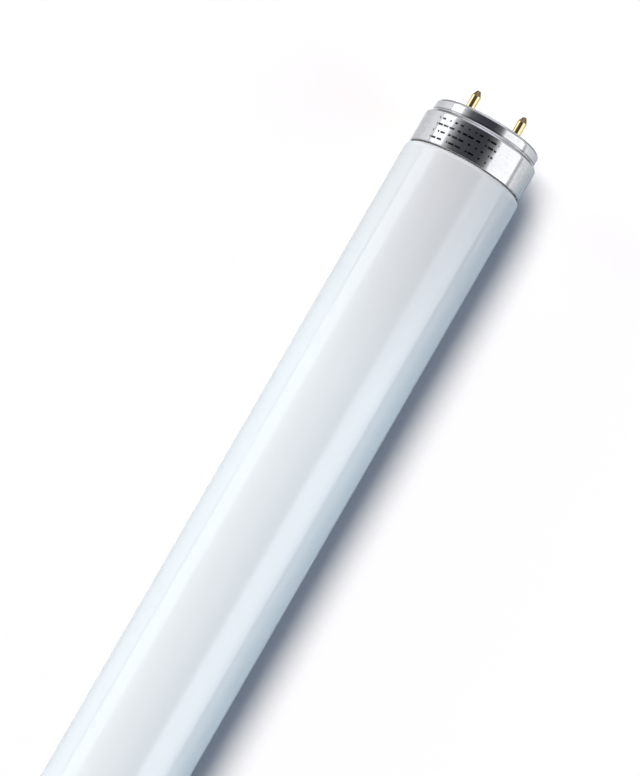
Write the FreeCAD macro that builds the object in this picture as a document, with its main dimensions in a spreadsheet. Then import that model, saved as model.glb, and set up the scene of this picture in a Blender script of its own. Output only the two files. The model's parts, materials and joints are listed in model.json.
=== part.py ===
"""Fluorescent tube, 24 inch, with a two-pin cap cemented on each end.

The tube lies along X with its middle at the origin, and +Z is up. Each end piece is drawn in the
frame of its own end: the origin is the middle of the cap's end face, and +X points out along the pins.
"""

import FreeCAD, Part
import math
import os
import Sketcher

# Driving sizes in millimetres, and one angle in degrees
SIZES = {
    # sealed glass
    "face_length": 589.8,  # between the end faces of the two caps
    "glass_diameter": 31.0,
    "neck_inset": 1.6,  # how far the glass draws in to go under the cap
    "neck_round": 2.0,  # rounding of the closed end of the neck
    "neck_setback": 0.8,  # from the cap's step to the end of the neck
    "mouth_diameter": 15.0,  # flared mouth of the stem
    "press_diameter": 7.0,  # bottom of the stem, where the wires come out
    "stem_depth": 9.0,
    # drawn aluminium cap
    "cap_length": 12.2,
    "shell_wall": 0.4,
    "skirt_inset": 0.45,  # how far the skirt lies inside the glass wall
    "lip_gap": 0.1,  # between the skirt's lip and the glass
    "step_drop": 1.05,  # skirt radius less ring radius
    "step_run": 1.5,  # length of the rounded step
    "ring_length": 2.8,  # from the end face to the step
    "face_round": 0.95,  # rounding between the ring and the end face
    # moulded plate that insulates the pins
    "window_width": 6.0,
    "window_fit": 0.05,  # between the plate's waist and the window
    "lip_reach": 0.5,  # how far the outer lip covers the end face
    "lip_height": 0.4,
    "lip_edge": 0.15,  # rounding of the lip
    "flange_reach": 0.8,  # how far the inner flange reaches behind the end face
    "flange_height": 1.2,
    # riveted hollow pins
    "pin_spacing": 12.7,
    "pin_diameter": 2.35,
    "pin_length": 6.8,  # from the cap's end face
    "tip_angle": 25.0,  # degrees between the tip's cone and the pin's axis
    "tip_round": 0.3,  # rounding between the cone and the flat
    "tip_flat": 0.6,  # diameter left flat at the tip
    "tip_wall": 0.8,
    "shank_diameter": 1.9,  # where the pin goes through the plate
    "shank_fit": 0.02,
    "rivet_diameter": 3.4,  # head rolled over behind the plate
    "rivet_height": 0.35,
    "bore_diameter": 1.3,
    "crimp_length": 1.2,  # narrow end of the bore, closed on the wire
    "crimp_taper": 0.6,
    # lead wires
    "wire_diameter": 0.6,
    "wire_fit": 0.03,
    "wire_root": 2.0,  # from the axis, where the wire leaves the stem
    "wire_rise": 3.0,  # straight run out of the stem
    "wire_entry": 0.8,  # straight run before the pin
    # cement that holds the cap
    "cement_length": 4.2,
    "cement_inset": 0.8,  # from the skirt's lip
}

# Radii and stations shared by pieces that seat on each other
GLASS_R = "sizes.glass_diameter / 2"
NECK_R = f"({GLASS_R} - sizes.neck_inset)"
SKIRT_R = f"({GLASS_R} - sizes.skirt_inset)"
SKIRT_BORE_R = f"({SKIRT_R} - sizes.shell_wall)"
RING_R = f"({SKIRT_R} - sizes.step_drop)"
STEP_X = "(sizes.ring_length + sizes.step_run)"
NECK_END_X = f"({STEP_X} + sizes.neck_setback)"
PRESS_X = f"({NECK_END_X} + sizes.stem_depth)"
PLATE_BACK_X = "(sizes.shell_wall + sizes.flange_height)"
RIVET_BACK_X = f"({PLATE_BACK_X} + sizes.rivet_height)"
WIRE_TIP_X = "(sizes.pin_length - sizes.tip_wall)"
PIN_Y = "sizes.pin_spacing / 2"

CCW, CW = 1, -1
HALF_TURN = 180
# Half turns that carry a piece drawn at the right end's rear pin to the other places
PLACES = {
    ("right", "rear"): FreeCAD.Rotation(),
    ("right", "front"): FreeCAD.Rotation(FreeCAD.Vector(1, 0, 0), HALF_TURN),
    ("left", "rear"): FreeCAD.Rotation(FreeCAD.Vector(0, 1, 0), HALF_TURN),
    ("left", "front"): FreeCAD.Rotation(FreeCAD.Vector(0, 0, 1), HALF_TURN),
}
END_SIGN = {"right": "", "left": "-"}

doc = FreeCAD.newDocument("fluorescent_tube")
sub_parts = []


def make_sheet():
    sheet = doc.addObject("Spreadsheet::Sheet", "sizes")
    for row, (alias, size) in enumerate(SIZES.items(), start=1):
        sheet.set(f"A{row}", alias)
        sheet.set(f"B{row}", str(size))
        sheet.setAlias(f"B{row}", alias)
    doc.recompute()


def new_body(label):
    body = doc.addObject("PartDesign::Body", label)
    body.Label = label
    sub_parts.append(body)
    return body


def seat_at_end(body, end, row="rear"):
    """Carry a piece from its own end frame to its place on the tube."""
    body.Placement = FreeCAD.Placement(FreeCAD.Vector(), PLACES[end, row])
    body.setExpression("Placement.Base.x", f"{END_SIGN[end]}sizes.face_length / 2")


def origin_plane(body, role):
    return next(plane for plane in body.Origin.OriginFeatures if plane.Role == role)


def new_sketch(body, name, role):
    sketch = body.newObject("Sketcher::SketchObject", name)
    sketch.AttachmentSupport = [(origin_plane(body, role), "")]
    sketch.MapMode = "FlatFace"
    return sketch


def bind(sketch, constraint, name, expression):
    """Add a dimension to a sketch and tie it to the sheet."""
    index = sketch.addConstraint(constraint)
    sketch.renameConstraint(index, name)
    sketch.setExpression(f"Constraints.{name}", expression)


def arc_between(first, last, radius, turn):
    """The shorter arc from first to last, which turns left (CCW) or right (CW)."""
    chord = last - first
    left = FreeCAD.Vector(-chord.y, chord.x, 0) / chord.Length
    sagitta_leg = math.sqrt(max(radius**2 - (chord.Length / 2) ** 2, 0))
    centre = first + chord / 2 + left * sagitta_leg * turn
    start, stop = (first, last) if turn == CCW else (last, first)
    angles = [math.atan2(p.y - centre.y, p.x - centre.x) for p in (start, stop)]
    circle = Part.Circle(centre, FreeCAD.Vector(0, 0, 1), radius)
    return Part.ArcOfCircle(circle, *angles)


def draw_outline(sketch, corners):
    """Draw a closed outline through named corners.

    A corner is (name, x, y), and one followed by (radius, turn) has an arc to the next corner.
    Coordinates and radii are expressions on the sheet.
    """
    points = [FreeCAD.Vector(*map(sketch.evalExpression, corner[1:3])) for corner in corners]
    ends = []
    for index, corner in enumerate(corners):
        first, last = points[index], points[(index + 1) % len(points)]
        if len(corner) == 3:
            sketch.addGeometry(Part.LineSegment(first, last))
            ends.append((1, 2))
            continue
        radius, turn = corner[3]
        sketch.addGeometry(arc_between(first, last, sketch.evalExpression(radius), turn))
        ends.append((1, 2) if turn == CCW else (2, 1))
    for index, corner in enumerate(corners):
        following = (index + 1) % len(corners)
        joint = (index, ends[index][1], following, ends[following][0])
        sketch.addConstraint(Sketcher.Constraint("Coincident", *joint))
    for index, corner in enumerate(corners):
        name, start = corner[0], ends[index][0]
        x_size = Sketcher.Constraint("DistanceX", index, start, points[index].x)
        y_size = Sketcher.Constraint("DistanceY", index, start, points[index].y)
        bind(sketch, x_size, f"{name}_x", corner[1])
        bind(sketch, y_size, f"{name}_y", corner[2])
        if len(corner) == 4:
            radius = corner[3][0]
            r_size = Sketcher.Constraint("Radius", index, sketch.evalExpression(radius))
            bind(sketch, r_size, f"{name}_arc", radius)


def turn_outline(body, name, corners, axis_y=None):
    """Turn an outline about the X axis, or about a line beside it."""
    sketch = new_sketch(body, f"{name}_outline", "XY_Plane")
    if axis_y:
        sketch.setExpression("AttachmentOffset.Base.y", axis_y)
    draw_outline(sketch, corners)
    turned = body.newObject("PartDesign::Revolution", name)
    turned.Profile = sketch
    turned.ReferenceAxis = (sketch, ["H_Axis"])
    sketch.Visibility = False
    return turned


def draw_obround(sketch, radius):
    """Draw a slot shape whose round ends are centred on the two pins."""
    r, reach = sketch.evalExpression(radius), sketch.evalExpression(PIN_Y)
    right, left = FreeCAD.Vector(reach, 0, 0), FreeCAD.Vector(-reach, 0, 0)
    up, normal = FreeCAD.Vector(0, r, 0), FreeCAD.Vector(0, 0, 1)
    quarter = math.pi / 2
    sketch.addGeometry(Part.LineSegment(right + up, left + up))
    sketch.addGeometry(Part.ArcOfCircle(Part.Circle(left, normal, r), quarter, 3 * quarter))
    sketch.addGeometry(Part.LineSegment(left - up, right - up))
    sketch.addGeometry(Part.ArcOfCircle(Part.Circle(right, normal, r), 3 * quarter, 5 * quarter))
    for edge in range(4):
        sketch.addConstraint(Sketcher.Constraint("Tangent", edge, 2, (edge + 1) % 4, 1))
    sketch.addConstraint(Sketcher.Constraint("Equal", 1, 3))
    for arc in (1, 3):
        sketch.addConstraint(Sketcher.Constraint("PointOnObject", arc, 3, -1))
    bind(sketch, Sketcher.Constraint("Radius", 3, r), "round_end", radius)
    bind(sketch, Sketcher.Constraint("DistanceX", 3, 3, reach), "right_end", PIN_Y)
    bind(sketch, Sketcher.Constraint("DistanceX", 1, 3, -reach), "left_end", f"-{PIN_Y}")


def pad_obround(body, name, radius, base_x, height):
    """A slot-shaped slab whose back lies at base_x."""
    sketch = new_sketch(body, f"{name}_outline", "YZ_Plane")
    sketch.setExpression("AttachmentOffset.Base.z", base_x)
    draw_obround(sketch, radius)
    pad = body.newObject("PartDesign::Pad", name)
    pad.Profile = sketch
    pad.setExpression("Length", height)
    sketch.Visibility = False
    return pad


def make_glass():
    """Sealed glass: straight wall, drawn-in neck under each cap, and a flared stem in each end."""
    half = "sizes.face_length / 2"
    neck_x = f"{half} - sizes.cap_length - sizes.lip_gap"
    end_x = f"{half} - {NECK_END_X}"
    body = new_body("glass_tube")
    corners = [
        ("middle", "0", "0"),
        ("middle_wall", "0", GLASS_R),
        ("shoulder", f"{neck_x} - sizes.neck_inset", GLASS_R, ("sizes.neck_inset", CW)),
        ("neck", neck_x, NECK_R),
        ("neck_end", f"{end_x} - sizes.neck_round", NECK_R, ("sizes.neck_round", CW)),
        ("rim", end_x, f"{NECK_R} - sizes.neck_round"),
        ("mouth", end_x, "sizes.mouth_diameter / 2"),
        ("press", f"{half} - {PRESS_X}", "sizes.press_diameter / 2"),
        ("press_middle", f"{half} - {PRESS_X}", "0"),
    ]
    half_glass = turn_outline(body, "half_glass", corners)
    doc.recompute()
    both_halves = body.newObject("PartDesign::Mirrored", "both_halves")
    both_halves.Originals = [half_glass]
    both_halves.MirrorPlane = (origin_plane(body, "YZ_Plane"), [""])
    body.Tip = both_halves


def make_end_cap(end):
    """Drawn cap: skirt over the glass neck, rounded step, ring, and end face with a window."""
    wall, edge = "sizes.shell_wall", "sizes.face_round"
    half_wall = f"{wall} / 2"
    step_turn = "2 * atan(sizes.step_drop / sizes.step_run)"
    step_radius = f"(sizes.step_run / (2 * sin({step_turn})))"
    middle_x = "-(sizes.ring_length + sizes.step_run / 2)"
    middle_r = f"{RING_R} + sizes.step_drop / 2"
    lip_x = f"-sizes.cap_length + {half_wall}"
    body = new_body(f"{end}_end_cap")
    corners = [
        ("face_middle", "0", "0"),
        ("back_middle", f"-{wall}", "0"),
        ("back_edge", f"-{wall}", f"{RING_R} - {edge}", (f"{edge} - {wall}", CCW)),
        ("ring_bore", f"-{edge}", f"{RING_R} - {wall}"),
        ("step_bore", "-sizes.ring_length", f"{RING_R} - {wall}", (f"{step_radius} + {wall}", CW)),
        (
            "step_bore_middle",
            f"{middle_x} - {wall} * sin({step_turn})",
            f"{middle_r} - {wall} * cos({step_turn})",
            (f"{step_radius} - {wall}", CCW),
        ),
        ("skirt_bore", f"-{STEP_X}", SKIRT_BORE_R),
        ("lip_bore", lip_x, SKIRT_BORE_R, (half_wall, CW)),
        ("lip", "-sizes.cap_length", f"{SKIRT_R} - {half_wall}", (half_wall, CW)),
        ("lip_outside", lip_x, SKIRT_R),
        ("skirt", f"-{STEP_X}", SKIRT_R, (step_radius, CW)),
        ("step_middle", middle_x, middle_r, (step_radius, CCW)),
        ("ring", "-sizes.ring_length", RING_R),
        ("ring_edge", f"-{edge}", RING_R, (edge, CW)),
        ("face_edge", "0", f"{RING_R} - {edge}"),
    ]
    turn_outline(body, "shell", corners)
    doc.recompute()
    sketch = new_sketch(body, "window_outline", "YZ_Plane")
    draw_obround(sketch, "sizes.window_width / 2")
    window = body.newObject("PartDesign::Pocket", "window")
    window.Profile = sketch
    window.setExpression("Length", wall)
    sketch.Visibility = False
    seat_at_end(body, end)


def make_pin_plate(end):
    """Moulded insulating plate, gripping the window's edge between a lip and a flange."""
    waist_r = "sizes.window_width / 2 - sizes.window_fit"
    body = new_body(f"{end}_pin_plate")
    waist_height = f"{PLATE_BACK_X} + sizes.lip_height"
    pad_obround(body, "waist", waist_r, f"-{PLATE_BACK_X}", waist_height)
    flange_r = "sizes.window_width / 2 + sizes.flange_reach"
    pad_obround(body, "flange", flange_r, f"-{PLATE_BACK_X}", "sizes.flange_height")
    lip_r = "sizes.window_width / 2 + sizes.lip_reach"
    lip = pad_obround(body, "lip", lip_r, "0", "sizes.lip_height")
    doc.recompute()
    front = lip.Shape.BoundBox.XMax
    rim = [
        f"Edge{number}"
        for number, edge in enumerate(lip.Shape.Edges, start=1)
        if math.isclose(edge.BoundBox.XMin, front, abs_tol=1e-6)
    ]
    soft_edge = body.newObject("PartDesign::Fillet", "soft_edge")
    soft_edge.Base = (lip, rim)
    soft_edge.setExpression("Radius", "sizes.lip_edge")
    doc.recompute()
    holes = new_sketch(body, "shank_holes_outline", "YZ_Plane")
    holes.setExpression("AttachmentOffset.Base.z", "sizes.lip_height")
    reach = holes.evalExpression(PIN_Y)
    radius = "sizes.shank_diameter / 2 + sizes.shank_fit"
    size = holes.evalExpression(radius)
    for index, (name, sign) in enumerate((("rear", ""), ("front", "-"))):
        place = FreeCAD.Vector(reach if name == "rear" else -reach, 0, 0)
        holes.addGeometry(Part.Circle(place, FreeCAD.Vector(0, 0, 1), size))
        holes.addConstraint(Sketcher.Constraint("PointOnObject", index, 3, -1))
        at_pin = Sketcher.Constraint("DistanceX", index, 3, place.x)
        bind(holes, at_pin, f"{name}_hole", f"{sign}{PIN_Y}")
        bind(holes, Sketcher.Constraint("Radius", index, size), f"{name}_radius", radius)
    shank_holes = body.newObject("PartDesign::Pocket", "shank_holes")
    shank_holes.Profile = holes
    shank_holes.setExpression("Length", waist_height)
    holes.Visibility = False
    seat_at_end(body, end)


def make_pin(end, row):
    """Hollow pin: cone tip, shoulder on the plate's lip, and a rivet head rolled over behind."""
    pin_r, flat_r = "sizes.pin_diameter / 2", "sizes.tip_flat / 2"
    shank_r, bore_r = "sizes.shank_diameter / 2", "sizes.bore_diameter / 2"
    crimp_r = "sizes.wire_diameter / 2 + sizes.wire_fit"
    cone_end_x = "(sizes.pin_length - sizes.tip_round * (1 - sin(sizes.tip_angle)))"
    cone_end_r = f"({flat_r} + sizes.tip_round * cos(sizes.tip_angle))"
    cone_start_x = f"{cone_end_x} - ({pin_r} - {cone_end_r}) / tan(sizes.tip_angle)"
    crimp_x = f"{WIRE_TIP_X} - sizes.crimp_length"
    body = new_body(f"{end}_{row}_pin")
    corners = [
        ("tip_middle", "sizes.pin_length", "0"),
        ("crimp_end", WIRE_TIP_X, "0"),
        ("crimp_end_wall", WIRE_TIP_X, crimp_r),
        ("crimp", crimp_x, crimp_r),
        ("bore_end", f"{crimp_x} - sizes.crimp_taper", bore_r),
        ("bore_mouth", f"-{RIVET_BACK_X}", bore_r),
        ("rivet_back", f"-{RIVET_BACK_X}", "sizes.rivet_diameter / 2"),
        ("rivet_front", f"-{PLATE_BACK_X}", "sizes.rivet_diameter / 2"),
        ("shank_back", f"-{PLATE_BACK_X}", shank_r),
        ("shank_front", "sizes.lip_height", shank_r),
        ("shoulder", "sizes.lip_height", pin_r),
        ("cone_start", cone_start_x, pin_r),
        ("cone_end", cone_end_x, cone_end_r, ("sizes.tip_round", CW)),
        ("tip_flat", "sizes.pin_length", flat_r),
    ]
    turn_outline(body, "pin", corners, axis_y=PIN_Y)
    seat_at_end(body, end, row)


def make_lead_wire(end, row):
    """Lead wire: out of the stem, over to the pin in two equal bends, and up the pin's bore."""
    start_x, bend_x = f"-{PRESS_X}", f"-({PRESS_X} - sizes.wire_rise)"
    entry_x = f"-({RIVET_BACK_X} + sizes.wire_entry)"
    body = new_body(f"{end}_{row}_lead_wire")
    path = new_sketch(body, "route", "XY_Plane")
    stations = (start_x, bend_x, entry_x, f"{WIRE_TIP_X} - sizes.wire_fit")
    start, bend, entry, tip = map(path.evalExpression, stations)
    root, pin_y = path.evalExpression("sizes.wire_root"), path.evalExpression(PIN_Y)
    run, shift = entry - bend, pin_y - root
    radius = (run**2 + shift**2) / (4 * shift)
    root_end, entry_start = FreeCAD.Vector(bend, root, 0), FreeCAD.Vector(entry, pin_y, 0)
    middle = (root_end + entry_start) / 2
    path.addGeometry(Part.LineSegment(FreeCAD.Vector(start, root, 0), root_end))
    path.addGeometry(arc_between(root_end, middle, radius, CCW))
    path.addGeometry(arc_between(middle, entry_start, radius, CW))
    path.addGeometry(Part.LineSegment(entry_start, FreeCAD.Vector(tip, pin_y, 0)))
    path.addConstraint(Sketcher.Constraint("Tangent", 0, 2, 1, 1))
    path.addConstraint(Sketcher.Constraint("Tangent", 1, 2, 2, 2))
    path.addConstraint(Sketcher.Constraint("Tangent", 2, 1, 3, 1))
    path.addConstraint(Sketcher.Constraint("Equal", 1, 2))
    path.addConstraint(Sketcher.Constraint("Horizontal", 0))
    path.addConstraint(Sketcher.Constraint("Horizontal", 3))
    bind(path, Sketcher.Constraint("DistanceX", 0, 1, start), "stem", start_x)
    bind(path, Sketcher.Constraint("DistanceY", 0, 1, root), "root", "sizes.wire_root")
    bind(path, Sketcher.Constraint("DistanceX", 0, 2, bend), "bend", bend_x)
    bind(path, Sketcher.Constraint("DistanceX", 3, 1, entry), "entry", entry_x)
    bind(path, Sketcher.Constraint("DistanceX", 3, 2, tip), "tip", stations[3])
    bind(path, Sketcher.Constraint("DistanceY", 3, 2, pin_y), "pin", PIN_Y)
    section = new_sketch(body, "section", "YZ_Plane")
    section.setExpression("AttachmentOffset.Base.z", start_x)
    wire_r = section.evalExpression("sizes.wire_diameter / 2")
    section.addGeometry(Part.Circle(FreeCAD.Vector(root, 0, 0), FreeCAD.Vector(0, 0, 1), wire_r))
    section.addConstraint(Sketcher.Constraint("PointOnObject", 0, 3, -1))
    bind(section, Sketcher.Constraint("DistanceX", 0, 3, root), "root", "sizes.wire_root")
    bind(section, Sketcher.Constraint("Diameter", 0, 2 * wire_r), "wire", "sizes.wire_diameter")
    doc.recompute()
    wire = body.newObject("PartDesign::AdditivePipe", "wire")
    wire.Profile = section
    wire.Spine = (path, ["Edge1", "Edge2", "Edge3", "Edge4"])
    for sketch in (path, section):
        sketch.Visibility = False
    seat_at_end(body, end, row)


def make_cement(end):
    """Ring of cement between the glass neck and the cap's skirt."""
    front_x = "-(sizes.cap_length - sizes.cement_inset)"
    back_x = f"{front_x} + sizes.cement_length"
    body = new_body(f"{end}_cement_ring")
    corners = [
        ("front_bore", front_x, NECK_R),
        ("back_bore", back_x, NECK_R),
        ("back_wall", back_x, SKIRT_BORE_R),
        ("front_wall", front_x, SKIRT_BORE_R),
    ]
    turn_outline(body, "ring", corners)
    seat_at_end(body, end)


def check_and_write():
    doc.recompute()
    faults = [obj.Name for obj in doc.Objects if {"Invalid", "Error"} & set(obj.State)]
    for body in sub_parts:
        shape = body.Shape
        if shape.isNull() or not shape.isValid() or len(shape.Solids) != 1:
            faults.append(body.Label)
    if faults:
        raise RuntimeError(f"failed objects: {faults}")
    os.makedirs("parts", exist_ok=True)
    for body in sub_parts:
        body.Shape.exportStep(f"parts/{body.Label}.step")


make_sheet()
make_glass()
for end in ("left", "right"):
    make_end_cap(end)
    make_pin_plate(end)
    make_cement(end)
    for row in ("front", "rear"):
        make_pin(end, row)
        make_lead_wire(end, row)
check_and_write()
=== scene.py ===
"""Fluorescent tube lying on a white table, seen from above with its pin end to the upper right."""

import json
import math

import bpy
from mathutils import Matrix, Vector


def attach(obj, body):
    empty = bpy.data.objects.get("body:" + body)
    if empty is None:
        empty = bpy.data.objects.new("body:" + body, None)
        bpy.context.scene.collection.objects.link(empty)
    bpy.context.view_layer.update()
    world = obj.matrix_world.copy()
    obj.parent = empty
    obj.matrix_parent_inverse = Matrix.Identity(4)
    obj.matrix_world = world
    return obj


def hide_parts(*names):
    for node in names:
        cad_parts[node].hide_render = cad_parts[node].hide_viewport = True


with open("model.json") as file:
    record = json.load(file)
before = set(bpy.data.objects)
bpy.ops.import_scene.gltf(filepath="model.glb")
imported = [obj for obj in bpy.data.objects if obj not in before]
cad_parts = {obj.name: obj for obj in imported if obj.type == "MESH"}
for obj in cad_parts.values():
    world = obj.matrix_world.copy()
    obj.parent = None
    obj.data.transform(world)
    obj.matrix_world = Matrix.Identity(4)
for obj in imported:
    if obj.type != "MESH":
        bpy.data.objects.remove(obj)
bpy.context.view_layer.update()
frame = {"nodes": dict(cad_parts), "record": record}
scene = bpy.context.scene
scene.view_settings.view_transform = "Standard"

MM = 0.001
GLASS_R = 15.5  # mm
FLOOR_Z = -GLASS_R * MM
X_AXIS, Y_AXIS, Z_AXIS = 0, 1, 2


# Node graphs

MIX_FACTOR, MIX_FIRST, MIX_SECOND, MIX_RESULT = 0, 6, 7, 2  # sockets of a Mix node that mixes colours
NOISE_SPAN = (0.3, 0.7)  # nearly all the values that a noise takes


class Graph:
    """The nodes and links of one material or world."""

    def __init__(self, tree):
        self.nodes, self.links = tree.nodes, tree.links

    def feed(self, socket, value):
        """Give a socket a number, a colour or the output of another node."""
        if isinstance(value, (int, float)):
            socket.default_value = value
        elif isinstance(value, tuple):
            socket.default_value = (*value, 1.0)
        else:
            self.links.new(value, socket)

    def math(self, operation, first, second=None):
        node = self.nodes.new("ShaderNodeMath")
        node.operation = operation
        self.feed(node.inputs[0], first)
        if second is not None:
            self.feed(node.inputs[1], second)
        return node.outputs[0]

    def remap(self, value, span, to=(0.0, 1.0)):
        """Move a value from one span to another, held at the ends."""
        node = self.nodes.new("ShaderNodeMapRange")
        self.feed(node.inputs["Value"], value)
        for label, number in zip(("From Min", "From Max", "To Min", "To Max"), (*span, *to)):
            node.inputs[label].default_value = number
        return node.outputs["Result"]

    def mix(self, factor, first, second):
        """Go from the first colour to the second as the factor goes from 0 to 1."""
        node = self.nodes.new("ShaderNodeMix")
        node.data_type = "RGBA"
        for number, value in ((MIX_FACTOR, factor), (MIX_FIRST, first), (MIX_SECOND, second)):
            self.feed(node.inputs[number], value)
        return node.outputs[MIX_RESULT]

    def stretch(self, vector, factors):
        node = self.nodes.new("ShaderNodeVectorMath")
        node.operation = "MULTIPLY"
        self.feed(node.inputs[0], vector)
        node.inputs[1].default_value = factors
        return node.outputs["Vector"]

    def noise(self, where, scale, detail=3.0, roughness=0.5):
        """Noise with one scale, or with a scale for each axis."""
        if isinstance(scale, tuple):
            where, scale = self.stretch(where, scale), 1.0
        node = self.nodes.new("ShaderNodeTexNoise")
        self.feed(node.inputs["Vector"], where)
        for label, number in (("Scale", scale), ("Detail", detail), ("Roughness", roughness)):
            node.inputs[label].default_value = number
        return node.outputs["Fac"]

    def bump(self, shader, height, strength, distance):
        """Add a bump to the shader, over the bump that it already has."""
        node = self.nodes.new("ShaderNodeBump")
        self.feed(node.inputs["Height"], height)
        node.inputs["Strength"].default_value = strength
        node.inputs["Distance"].default_value = distance
        normal = shader.inputs["Normal"]
        if normal.is_linked:
            self.feed(node.inputs["Normal"], normal.links[0].from_socket)
        self.feed(normal, node.outputs["Normal"])

    def ramp(self, value, stops):
        """Colours at values in rising order, straight between them."""
        first, last = stops[0][0], stops[-1][0]
        node = self.nodes.new("ShaderNodeValToRGB")
        self.feed(node.inputs["Fac"], self.remap(value, (first, last)))
        elements = node.color_ramp.elements
        while len(elements) < len(stops):
            elements.new(0.5)
        for element, (at, colour) in zip(elements, stops):
            element.position = (at - first) / (last - first)
            element.color = (*colour, 1.0)
        return node.outputs["Color"]

    def place(self):
        """Place on the object, in metres."""
        return self.nodes.new("ShaderNodeTexCoord").outputs["Object"]

    def split(self, vector):
        node = self.nodes.new("ShaderNodeSeparateXYZ")
        self.feed(node.inputs[0], vector)
        return node.outputs

    def distance_along(self, where):
        """Distance from the middle of the tube along its axis, so that both ends look alike."""
        return self.math("ABSOLUTE", self.split(where)[X_AXIS])


def new_material(name):
    """A material with its graph and its shader."""
    mat = bpy.data.materials.new(name)
    mat.use_nodes = True
    return mat, Graph(mat.node_tree), mat.node_tree.nodes["Principled BSDF"]


# Materials

GLASS_PALE, GLASS_WHITE, GLASS_GRAIN = (0.735, 0.78, 0.795), (0.755, 0.80, 0.815), (0.70, 0.75, 0.775)
GLASS_END, GLASS_BARE = (0.606, 0.617, 0.63), (0.60, 0.60, 0.61)
METAL_DARK, METAL_BRIGHT, METAL_DULL = (0.58, 0.585, 0.60), (0.74, 0.745, 0.76), (0.46, 0.46, 0.47)
LIP_PAINTED_SHADE, RING_FOOT_PAINTED_SHADE, INK = (0.2, 0.2, 0.21), (0.1, 0.1, 0.11), (0.03, 0.03, 0.035)
BRASS_PALE, BRASS_DEEP, BRASS_TIP = (0.93, 0.77, 0.45), (0.86, 0.66, 0.31), (0.30, 0.22, 0.10)
PHENOLIC_DARK, PHENOLIC_PALE = (0.06, 0.03, 0.018), (0.14, 0.075, 0.04)
NICKEL_DARK, NICKEL_PALE = (0.55, 0.53, 0.49), (0.68, 0.66, 0.62)
CEMENT_DARK, CEMENT_PALE = (0.48, 0.42, 0.33), (0.70, 0.64, 0.54)

# Places in metres: distances along the tube from its middle, or y across it
GREYING_X = (0.222, 0.283)  # greyer towards the caps
GREYING_Y = (0.003, 0.013)  # and less so on the +Y side
PLUS_Y_GREYING = 0.6
BARE_X = (0.2822, 0.2825)  # the coating ends
BARE_WOBBLE = 0.0002
LIP_X = (0.2829, 0.2831)  # the cap's lip, whose edge has painted shade
# painted shade in the crease at the foot of the ring
RING_FOOT_X = 0.29215
FOOT_HALF_WIDTH = (0.0001, 0.00025)
TIP_X = (0.30015, 0.30035)  # the pins' tips begin

# Shares of the glass's grain, the scuffs, the painted shade on the lip and the painted shade at the ring's
# foot in the colour
GRAIN_SHARE, DULL_SHARE, LIP_SHARE, RING_FOOT_PAINTED_SHADE_SHARE = 0.2, 0.5, 0.25, 0.65
TIP_ROUGHER = 0.1  # added to the roughness of the pins' tips

DASH_ROWS_X = (0.2842, 0.2860, 0.2878, 0.2894)
DASH_HALF_WIDTH = 0.00026
DASH_PITCH, DASH_SPAN = 0.12, (-0.30, 0.86)  # radians round the axis
DASH_DRAW, DASH_FILL = (0.1, 0.6), (0.2, 0.86)  # a random draw sets the part of the pitch that is inked
DASH_ROW_SHIFT = 40.0  # gives each row its own random lengths
DASH_WEAR = (0.75, 1.0)


def coated_glass():
    """Clear glass over a white powder coating, greyer towards the caps and bare where it goes under them."""
    mat, graph, shader = new_material("coated_glass")
    where = graph.place()
    x, y, _ = graph.split(where)
    reach = graph.math("ABSOLUTE", x)
    cloud = graph.noise(where, (25.0, 60.0, 60.0))
    grain = graph.noise(where, 900.0, detail=2.0)
    edge = graph.noise(where, 260.0)
    body = graph.mix(cloud, GLASS_PALE, GLASS_WHITE)
    body = graph.mix(graph.math("MULTIPLY", grain, GRAIN_SHARE), body, GLASS_GRAIN)
    side = graph.remap(y, GREYING_Y, (1.0, PLUS_Y_GREYING))
    greying = graph.math("MULTIPLY", graph.remap(reach, GREYING_X), side)
    body = graph.mix(greying, body, GLASS_END)
    ragged = graph.math("ADD", reach, graph.remap(edge, NOISE_SPAN, (-BARE_WOBBLE, BARE_WOBBLE)))
    body = graph.mix(graph.remap(ragged, BARE_X), body, GLASS_BARE)
    graph.feed(shader.inputs["Base Color"], body)
    graph.feed(shader.inputs["Roughness"], graph.remap(grain, NOISE_SPAN, (0.5, 0.62)))
    shader.inputs["Specular IOR Level"].default_value = 0.1
    shader.inputs["Coat Weight"].default_value = 1.0
    shader.inputs["Coat Roughness"].default_value = 0.025
    shader.inputs["Coat IOR"].default_value = 1.75
    draw_lines = graph.noise(where, (3.0, 240.0, 240.0), detail=2.0)
    graph.bump(shader, draw_lines, strength=0.05, distance=0.0002)
    return mat


def ink_dashes(graph, where):
    """Mask of two double rows of broken dashes on the skirt of the cap at +X, which mean nothing."""
    x, y, z = graph.split(where)
    turn = graph.math("ARCTAN2", y, z)
    step = graph.math("MULTIPLY", turn, 1.0 / DASH_PITCH)
    within = graph.math("FRACT", step)
    rows = None
    for number, row_x in enumerate(DASH_ROWS_X):
        off = graph.math("ABSOLUTE", graph.math("SUBTRACT", x, row_x))
        line = graph.math("LESS_THAN", off, DASH_HALF_WIDTH)
        cell = graph.nodes.new("ShaderNodeTexWhiteNoise")
        cell.noise_dimensions = "1D"
        graph.feed(cell.inputs["W"], graph.math("ADD", graph.math("FLOOR", step), DASH_ROW_SHIFT * number))
        length = graph.remap(cell.outputs["Value"], DASH_DRAW, DASH_FILL)
        line = graph.math("MULTIPLY", line, graph.math("LESS_THAN", within, length))
        rows = line if rows is None else graph.math("MAXIMUM", rows, line)
    for side, limit in zip(("GREATER_THAN", "LESS_THAN"), DASH_SPAN):
        rows = graph.math("MULTIPLY", rows, graph.math(side, turn, limit))
    return rows


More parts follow.
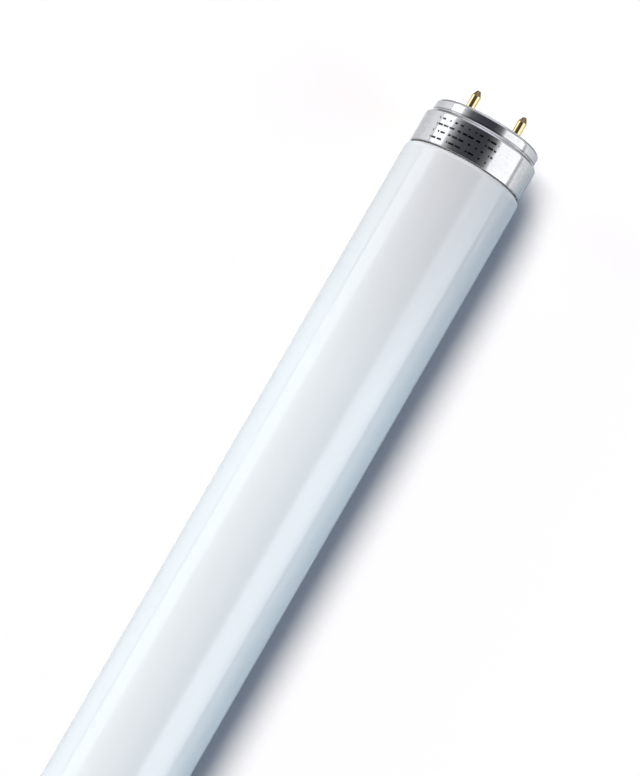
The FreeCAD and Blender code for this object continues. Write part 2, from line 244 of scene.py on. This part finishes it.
def drawn_aluminium():
    """Bright drawn metal with fine lines round the axis, scuffs, a slight waviness and a mark in ink, with
    painted shade on the lip and in the crease at the ring's foot.
    """
    mat, graph, shader = new_material("drawn_aluminium")
    where = graph.place()
    lines = graph.noise(where, (7000.0, 90.0, 90.0))
    scuffs = graph.noise(where, 520.0, detail=6.0, roughness=0.7)
    waves = graph.noise(where, (380.0, 130.0, 130.0), detail=2.0)
    tone = graph.mix(lines, METAL_DARK, METAL_BRIGHT)
    dull = graph.remap(scuffs, (0.5, 0.75))
    tone = graph.mix(graph.math("MULTIPLY", dull, DULL_SHARE), tone, METAL_DULL)
    reach = graph.distance_along(where)
    # painted shade on the edge of the cap's lip
    tone = graph.mix(graph.remap(reach, LIP_X, (LIP_SHARE, 0.0)), tone, LIP_PAINTED_SHADE)
    # painted shade along the crease at the ring's foot
    from_foot = graph.math("ABSOLUTE", graph.math("SUBTRACT", reach, RING_FOOT_X))
    tone = graph.mix(graph.remap(from_foot, FOOT_HALF_WIDTH, (RING_FOOT_PAINTED_SHADE_SHARE, 0.0)), tone, RING_FOOT_PAINTED_SHADE)
    dashes = ink_dashes(graph, where)
    worn = graph.remap(scuffs, (0.38, 0.52), DASH_WEAR)
    ink = graph.math("MULTIPLY", dashes, worn)
    graph.feed(shader.inputs["Base Color"], graph.mix(ink, tone, INK))
    graph.feed(shader.inputs["Roughness"], graph.remap(scuffs, (0.35, 0.75), (0.07, 0.17)))
    shader.inputs["Metallic"].default_value = 1.0
    graph.bump(shader, lines, strength=0.06, distance=0.00005)
    graph.bump(shader, waves, strength=0.4, distance=0.00005)
    return mat


def brass():
    """Bright drawn brass, a little darker in patches, and dulled on the pins' tips."""
    mat, graph, shader = new_material("brass")
    where = graph.place()
    patches = graph.noise(where, 900.0, detail=4.0)
    lines = graph.noise(where, (800.0, 9000.0, 9000.0), detail=2.0)
    tone = graph.mix(patches, BRASS_PALE, BRASS_DEEP)
    tip = graph.remap(graph.distance_along(where), TIP_X)
    graph.feed(shader.inputs["Base Color"], graph.mix(tip, tone, BRASS_TIP))
    drawn = graph.remap(lines, NOISE_SPAN, (0.03, 0.07))
    graph.feed(shader.inputs["Roughness"], graph.math("ADD", drawn, graph.math("MULTIPLY", tip, TIP_ROUGHER)))
    shader.inputs["Metallic"].default_value = 1.0
    graph.bump(shader, lines, strength=0.05, distance=0.00005)
    return mat


def moulded_phenolic():
    """Dark brown moulding with a fine mottle."""
    mat, graph, shader = new_material("moulded_phenolic")
    mottle = graph.noise(graph.place(), 1500.0, detail=5.0, roughness=0.6)
    graph.feed(shader.inputs["Base Color"], graph.mix(mottle, PHENOLIC_DARK, PHENOLIC_PALE))
    graph.feed(shader.inputs["Roughness"], graph.remap(mottle, NOISE_SPAN, (0.42, 0.56)))
    graph.bump(shader, mottle, strength=0.15, distance=0.00005)
    return mat


def nickel_wire():
    """Drawn wire with streaks along it."""
    mat, graph, shader = new_material("nickel_wire")
    streaks = graph.noise(graph.place(), (700.0, 6000.0, 6000.0))
    graph.feed(shader.inputs["Base Color"], graph.mix(streaks, NICKEL_DARK, NICKEL_PALE))
    graph.feed(shader.inputs["Roughness"], graph.remap(streaks, NOISE_SPAN, (0.25, 0.38)))
    shader.inputs["Metallic"].default_value = 1.0
    return mat


def basing_cement():
    """Grainy, matt cement."""
    mat, graph, shader = new_material("basing_cement")
    grains = graph.noise(graph.place(), 2500.0, detail=6.0, roughness=0.7)
    graph.feed(shader.inputs["Base Color"], graph.mix(grains, CEMENT_DARK, CEMENT_PALE))
    graph.feed(shader.inputs["Roughness"], graph.remap(grains, NOISE_SPAN, (0.8, 0.95)))
    graph.bump(shader, grains, strength=0.4, distance=0.0001)
    return mat


materials = {
    "coated_glass": coated_glass(),
    "drawn_aluminium": drawn_aluminium(),
    "brass": brass(),
    "moulded_phenolic": moulded_phenolic(),
    "nickel_wire": nickel_wire(),
    "basing_cement": basing_cement(),
}
for row in frame["record"]["subparts"]:
    node = frame["nodes"][row["node"]]
    node.data.materials.clear()
    node.data.materials.append(materials[row["material_slot"]])


# Sealed glass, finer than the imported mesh. Sizes in millimetres.

STRAIGHT_X = (0.0, 60.0, 120.0, 180.0, 230.0, 260.0, 275.0, 280.0, 280.8)
SHOULDER_X, SHOULDER_ROUND = 281.0, 1.6
NECK_FLAT_X, NECK_R, NECK_END_X, NECK_ROUND = (282.9, 287.6), 13.9, 289.8, 2.0
FLARE_R = 7.5  # opening of the stem in the end of the neck
PRESS_X, PRESS_R = 280.8, 3.5  # bottom of the stem
GLASS_SEGMENTS = 192
SHARP_ANGLE = math.radians(35.0)


def quarter_round(centre_x, centre_r, radius, steps=10):
    """Points (x, r) on a quarter circle, from its widest place to its end in +X."""
    angles = [math.radians(90 - 90 * i / steps) for i in range(steps + 1)]
    return [(centre_x + radius * math.cos(a), centre_r + radius * math.sin(a)) for a in angles]


def glass_profile():
    """Half profile from the middle of the tube to the bottom of the stem."""
    points = [(x, GLASS_R) for x in STRAIGHT_X]
    points += quarter_round(SHOULDER_X, NECK_R, SHOULDER_ROUND)
    points += [(x, NECK_R) for x in NECK_FLAT_X]
    points += quarter_round(NECK_END_X - NECK_ROUND, NECK_R - NECK_ROUND, NECK_ROUND)
    points += [(NECK_END_X, FLARE_R), (PRESS_X, PRESS_R), (PRESS_X, 0.0)]
    return points


def lathe(name, profile, segments):
    """Turn a profile of (x, r) points in millimetres about the X axis. A point with r 0 is a pole."""
    verts, faces, rings = [], [], []
    for x, r in profile:
        if r == 0.0:
            rings.append([len(verts)])
            verts.append((x * MM, 0.0, 0.0))
            continue
        rings.append(list(range(len(verts), len(verts) + segments)))
        for i in range(segments):
            a = 2 * math.pi * i / segments
            verts.append((x * MM, r * math.cos(a) * MM, r * math.sin(a) * MM))
    for one, two in zip(rings, rings[1:]):
        for i in range(segments):
            j = (i + 1) % segments
            if len(one) == 1:
                faces.append((one[0], two[j], two[i]))
            elif len(two) == 1:
                faces.append((one[i], one[j], two[0]))
            else:
                faces.append((one[i], one[j], two[j], two[i]))
    mesh = bpy.data.meshes.new(name)
    mesh.from_pydata(verts, [], faces)
    mesh.validate()
    mesh.shade_smooth()
    mesh.set_sharp_from_angle(angle=SHARP_ANGLE)
    made = bpy.data.objects.new(name, mesh)
    scene.collection.objects.link(made)
    return made


half = glass_profile()
whole = [(-x, r) for x, r in reversed(half[1:])] + half
glass = lathe("glass_envelope", whole, GLASS_SEGMENTS)
glass.data.materials.append(materials["coated_glass"])
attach(glass, "root")
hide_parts("glass_tube")
glass.visible_diffuse = False  # throws no light on the table, whose shadow stays dark


# Table, studio panels and cards of painted shade. Sizes in metres.

TABLE_WHITE, TABLE_REACH = (0.97, 0.97, 0.97), 6.0
SOFTBOX_Y, RIM_Y, SIDE_REACH = 0.37, 0.371, 3.0  # the rims stand just behind the softboxes
SOFTBOX_CAP_SPAN = (0.30, 0.36)  # |x| over which a softbox goes over to the levels for the caps
CARD_REACH, CARD_Z = 0.33, FLOOR_Z + 0.0002
CARD_CAP_SPAN = (0.287, 0.302)  # the same on a card beside the tube
END_CARD_X, END_CARD_TOP, END_CARD_HALF = 0.55, 0.3, 0.37
END_CARD_DIM, END_CARD_BRIGHT = 0.5, (0.9, 0.9, 1.0)
END_CARD_BRIGHT_Y, END_CARD_DIM_Y = 0.06, 0.16  # bright within the first, dim beyond the second
# painted shade beyond each end of the tube, on cards that only mirrors see
END_FLOOR_X, END_FLOOR_Z = (0.303, 0.40), FLOOR_Z + 0.0003
END_FLOOR_NEAR_HALF, END_FLOOR_HALF = 0.03, 0.13
END_FLOOR_PALE, END_FLOOR_SHADE = 1.0, 0.34
END_FLOOR_PALE_Y, END_FLOOR_SHADE_Y = 0.006, 0.016  # pale within the first, dark beyond the second
END_FLOOR_SPAN = (0.33, 0.40)  # |x| over which that card goes over to pale

# Softbox levels by angle above the tube's axis, in degrees
LEFT_RIM = [(-2.3, 0.32), (-0.9, 0.32)]
LEFT_GLASS = [(-0.9, 1.5), (25.5, 1.5), (29.5, 0.7), (34.5, 0.55), (39.5, 0.36), (46.0, 0.17), (51.0, 0.12)]
LEFT_CAP = [(-0.9, 1.75), (25.5, 1.75), (29.5, 0.75), (34.5, 0.58), (39.5, 0.36), (46.0, 0.17), (51.0, 0.12)]
RIGHT_RIM = [(-2.3, 0.62), (5.5, 0.62)]
RIGHT_GLASS = [
    (5.5, 1.8), (15.0, 2.4), (22.0, 2.75), (32.0, 2.85), (40.0, 2.55), (48.0, 2.25), (54.0, 2.05),
    (58.5, 0.75), (65.0, 0.25), (73.0, 0.12), (79.0, 0.08),
]
RIGHT_CAP = [
    (5.5, 1.5), (15.0, 1.5), (22.0, 1.45), (54.0, 1.45), (58.5, 0.6), (65.0, 0.2), (73.0, 0.12), (79.0, 0.08),
]

# Cards on the table: levels or colours by y
# painted shade of the table close beside the tube, for mirrors only
LEFT_SHADE_CARD = [(0.0165, 1.0), (0.019, 0.9), (0.025, 0.78), (0.040, 0.87), (0.065, 1.0), (0.14, 1.08)]
# painted shadow of the tube on the table, for mirrors only; paler where the caps mirror it
RIGHT_SHADOW_CARD = [
    (-0.14, (0.85, 0.87, 0.90)), (-0.065, (0.66, 0.71, 0.76)), (-0.040, (0.50, 0.59, 0.65)),
    (-0.025, (0.44, 0.51, 0.59)), (-0.0165, (0.22, 0.27, 0.34)),
]
RIGHT_SHADOW_CARD_CAP = [
    (-0.14, (0.93, 0.94, 0.95)), (-0.065, (0.86, 0.88, 0.90)), (-0.040, (0.78, 0.79, 0.80)),
    (-0.025, (0.68, 0.69, 0.72)), (-0.0165, (0.50, 0.52, 0.55)),
]
LEFT_LINE = [(0.23, 0.2), (0.37, 0.2)]
LEFT_LINE_REACHES = (0.318, 0.344)  # ends before the place which the cap mirrors


def table_material():
    """White table that shows as white where it is lit and keeps the shadow."""
    mat, graph, shader = new_material("white_table")
    graph.feed(shader.inputs["Base Color"], TABLE_WHITE)
    shader.inputs["Roughness"].default_value = 0.9
    shader.inputs["Specular IOR Level"].default_value = 0.0
    return mat


def graded_glow(name, axis, stops, end_stops=None, end_span=CARD_CAP_SPAN):
    """Emission graded along one axis of the panel, which goes over to end_stops where |x| is in end_span."""
    mat = bpy.data.materials.new(name)
    mat.use_nodes = True
    graph = Graph(mat.node_tree)
    graph.nodes.clear()
    glow, out = graph.nodes.new("ShaderNodeEmission"), graph.nodes.new("ShaderNodeOutputMaterial")
    place = graph.split(graph.place())
    colour = graph.ramp(place[axis], stops)
    if end_stops:
        near_end = graph.remap(graph.math("ABSOLUTE", place[X_AXIS]), end_span)
        colour = graph.mix(near_end, colour, graph.ramp(place[axis], end_stops))
    graph.feed(glow.inputs["Color"], colour)
    graph.feed(out.inputs["Surface"], glow.outputs[0])
    return mat


def flat_panel(name, corners, mat):
    mesh = bpy.data.meshes.new(name)
    mesh.from_pydata(corners, [], [(0, 1, 2, 3)])
    panel = bpy.data.objects.new(name, mesh)
    panel.data.materials.append(mat)
    scene.collection.objects.link(panel)
    return panel


def mirrored_panel(name, corners, *grading):
    """A studio panel that only mirrors see."""
    panel = flat_panel(name, corners, graded_glow(name, *grading))
    panel.visible_camera = False
    panel.visible_diffuse = False
    panel.visible_transmission = False
    panel.visible_shadow = False


def grey(level):
    """Nearly neutral, slightly cool."""
    return (0.975 * level, 0.985 * level, level)


def in_grey(levels):
    return [(at, grey(level)) for at, level in levels]


def at_heights(y, levels):
    """Levels given at angles above the tube's axis, moved to heights on an upright panel at y."""
    return in_grey([(abs(y) * math.tan(math.radians(deg)), level) for deg, level in levels])


def side_panel(name, y, levels, cap_levels=None):
    """A long upright panel beside the tube. The caps mirror its ends, which can have other levels."""
    stops = at_heights(y, levels)
    end_stops = at_heights(y, cap_levels) if cap_levels else None
    low, high = stops[0][0], stops[-1][0]
    corners = [(-SIDE_REACH, y, low), (SIDE_REACH, y, low), (SIDE_REACH, y, high), (-SIDE_REACH, y, high)]
    mirrored_panel(name, corners, Z_AXIS, stops, end_stops, SOFTBOX_CAP_SPAN)


def floor_card(name, stops, end_stops=None, reaches=(CARD_REACH, CARD_REACH)):
    """A card on the table along one side of the tube, with the reach of its first and its last edge."""
    first, last = stops[0][0], stops[-1][0]
    one, two = reaches
    corners = [(-one, first, CARD_Z), (one, first, CARD_Z), (two, last, CARD_Z), (-two, last, CARD_Z)]
    mirrored_panel(name, corners, Y_AXIS, stops, end_stops)


def both_sides(half):
    """Stops given from the middle outwards, mirrored to the other side of the tube's line."""
    return [(-at, colour) for at, colour in reversed(half)] + half


def end_card(name, x):
    """An upright card beyond one end of the tube, brightest in line with it."""
    side, top = END_CARD_HALF, END_CARD_TOP
    dim = grey(END_CARD_DIM)
    stops = both_sides([(END_CARD_BRIGHT_Y, END_CARD_BRIGHT), (END_CARD_DIM_Y, dim), (side, dim)])
    corners = [(x, -side, FLOOR_Z), (x, side, FLOOR_Z), (x, side, top), (x, -side, top)]
    mirrored_panel(name, corners, Y_AXIS, stops)


def end_shade_card(name, end):
    """A card on the table beyond one end, painted shade of the tube's shadow and contact that only mirrors
    see: pale in line with the tube, dark beside that, and pale far out.
    """
    near, far, z = end * END_FLOOR_X[0], end * END_FLOOR_X[1], END_FLOOR_Z
    slim, wide = END_FLOOR_NEAR_HALF, END_FLOOR_HALF
    pale, dark = grey(END_FLOOR_PALE), grey(END_FLOOR_SHADE)
    stops = both_sides([(END_FLOOR_PALE_Y, pale), (END_FLOOR_SHADE_Y, dark), (wide, dark)])
    corners = [(near, -slim, z), (far, -wide, z), (far, wide, z), (near, slim, z)]
    mirrored_panel(name, corners, Y_AXIS, stops, both_sides([(wide, pale)]), END_FLOOR_SPAN)


flat_panel(
    "table",
    [(TABLE_REACH * i, TABLE_REACH * j, FLOOR_Z) for i, j in ((-1, -1), (1, -1), (1, 1), (-1, 1))],
    table_material(),
)
side_panel("left_rim", RIM_Y, LEFT_RIM)
side_panel("left_softbox", SOFTBOX_Y, LEFT_GLASS, LEFT_CAP)
side_panel("right_rim", -RIM_Y, RIGHT_RIM)
side_panel("right_softbox", -SOFTBOX_Y, RIGHT_GLASS, RIGHT_CAP)
# painted shade of the table beside the tube, seen only in mirrors
floor_card("left_shade_card", in_grey(LEFT_SHADE_CARD))
# painted shadow of the tube on the table, seen only in mirrors
floor_card("right_shadow_card", RIGHT_SHADOW_CARD, RIGHT_SHADOW_CARD_CAP)
floor_card("left_line", in_grey(LEFT_LINE), reaches=LEFT_LINE_REACHES)
end_card("left_end_card", -END_CARD_X)
end_card("right_end_card", END_CARD_X)
# painted shade of the tube's shadow and contact beyond each end, seen only in mirrors
end_shade_card("left_end_shade_card", -1)
end_shade_card("right_end_shade_card", 1)


# Light

KEY_COLOUR, KEY_ENERGY = (1.0, 0.952, 0.912), 1.61
SUNS = (  # tilt, ahead and size in degrees, colour, energy
    ("key_0", 19, 6, 24, KEY_COLOUR, KEY_ENERGY),
    ("key_1", 19, 30, 24, KEY_COLOUR, KEY_ENERGY),
    ("right_fill", -66, 0, 40, (0.46, 0.79, 1.0), 0.95),
    ("top_fill", -22, 0, 30, (0.7, 0.3, 0.8), 0.15),
    ("left_fill", 72, 0, 30, (0.57, 0.81, 1.0), 0.88),
)
ROOM_COLOUR, ROOM_STRENGTH = (0.72, 0.83, 1.0), 0.015
SKY = [  # colours by height, from the horizon to straight up
    (0.0, grey(1.15)), (0.12, grey(1.08)), (0.30, grey(0.78)), (0.42, grey(0.5)), (0.55, grey(0.3)),
    (0.70, (0.16, 0.16, 0.175)), (0.85, (0.088, 0.088, 0.105)), (1.0, (0.056, 0.056, 0.07)),
]


def soft_sun(name, tilt_deg, ahead_deg, size_deg, colour, energy):
    """Soft light from a side: tilt is from upright towards +Y, ahead towards +X. Mirrors don't see it."""
    data = bpy.data.lights.new(name, "SUN")
    data.color = colour
    data.energy = energy
    data.angle = math.radians(size_deg)
    sun = bpy.data.objects.new(name, data)
    scene.collection.objects.link(sun)
    towards = Vector((math.tan(math.radians(ahead_deg)), math.tan(math.radians(tilt_deg)), 1.0))
    sun.rotation_mode = "QUATERNION"
    sun.rotation_quaternion = towards.to_track_quat("Z", "Y")
    sun.visible_glossy = False


def seen_rays(graph):
    """1 for the rays that show the background: straight, mirrored or through glass."""
    path = graph.nodes.new("ShaderNodeLightPath")
    seen = graph.math("MAXIMUM", path.outputs["Is Camera Ray"], path.outputs["Is Glossy Ray"])
    return graph.math("MAXIMUM", seen, path.outputs["Is Transmission Ray"])


def studio_world():
    """Dim bluish room for soft light. Where it is seen or mirrored, pale at the horizon and dark overhead."""
    world = bpy.data.worlds.new("studio")
    scene.world = world
    world.use_nodes = True
    graph = Graph(world.node_tree)
    graph.nodes.clear()
    out = graph.nodes.new("ShaderNodeOutputWorld")
    room, shown = graph.nodes.new("ShaderNodeBackground"), graph.nodes.new("ShaderNodeBackground")
    graph.feed(room.inputs["Color"], ROOM_COLOUR)
    room.inputs["Strength"].default_value = ROOM_STRENGTH
    height = graph.split(graph.nodes.new("ShaderNodeTexCoord").outputs["Generated"])[Z_AXIS]
    graph.feed(shown.inputs["Color"], graph.ramp(height, SKY))
    mix = graph.nodes.new("ShaderNodeMixShader")
    for socket, value in zip(mix.inputs, (seen_rays(graph), room.outputs[0], shown.outputs[0])):
        graph.feed(socket, value)
    graph.feed(out.inputs["Surface"], mix.outputs[0])


for sun_values in SUNS:
    soft_sun(*sun_values)
studio_world()


# Camera, turned so that the tube runs up to the right as in the photo

WIDTH_PX, HEIGHT_PX, SENSOR_MM = 640, 776, 36.0
PX_PER_MM = 4.16
DEPTH_MM = 4000.0
CLIP_START, CLIP_END = 0.05, 50.0
TILT = math.radians(10.6)
SCREEN_ANGLE = math.radians(60.03)
AIM_MM = Vector((282.7, 0.0, 0.0))  # this place on the axis
AIM_PX = (463.6, 171.6)  # is seen here


def add_camera():
    focal_px = PX_PER_MM * DEPTH_MM
    data = bpy.data.cameras.new("camera")
    data.lens = focal_px / HEIGHT_PX * SENSOR_MM
    data.sensor_width = SENSOR_MM
    data.clip_start, data.clip_end = CLIP_START, CLIP_END
    camera = bpy.data.objects.new("camera", data)
    scene.collection.objects.link(camera)
    scene.camera = camera
    back = Vector((-math.sin(TILT), 0.0, math.cos(TILT)))
    along = Vector((math.cos(TILT), 0.0, math.sin(TILT)))
    across = Vector((0.0, -1.0, 0.0))
    right = along * math.cos(SCREEN_ANGLE) + across * math.sin(SCREEN_ANGLE)
    up = along * math.sin(SCREEN_ANGLE) - across * math.cos(SCREEN_ANGLE)
    px_mm = DEPTH_MM / focal_px
    place = AIM_MM + back * DEPTH_MM
    place -= right * (AIM_PX[0] - WIDTH_PX / 2) * px_mm
    place -= up * (HEIGHT_PX / 2 - AIM_PX[1]) * px_mm
    camera.matrix_world = Matrix.Translation(place * MM) @ Matrix((right, up, back)).transposed().to_4x4()


add_camera()
